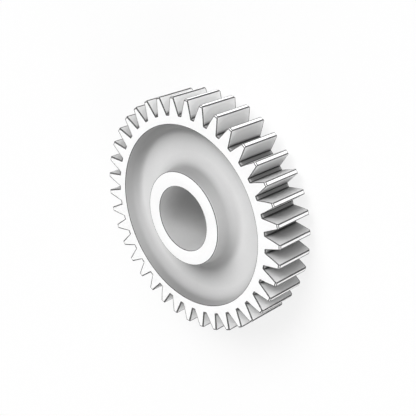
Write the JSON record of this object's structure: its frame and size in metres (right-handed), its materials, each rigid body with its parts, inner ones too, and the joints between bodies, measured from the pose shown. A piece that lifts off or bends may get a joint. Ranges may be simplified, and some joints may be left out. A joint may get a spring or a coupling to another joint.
{
  "type": "gear wheel",
  "caption": "Spur gear wheel in one piece, with straight teeth, a web dished on both faces and a plain bored hub that stands proud of the rim.",
  "frame": {"origin": "on the axis, at the middle of the bore", "axes": "+Z along the bore, towards the face in the picture; +Y through the middle of one tooth"},
  "size_m": [0.0798, 0.08, 0.0186],
  "materials": {
    "gear_wheel": "matt white moulded plastic, with fine turning marks on the flat faces"
  },
  "bodies": {
    "root": {"gear_wheel": "gear_wheel"}
  },
  "joints": []
}
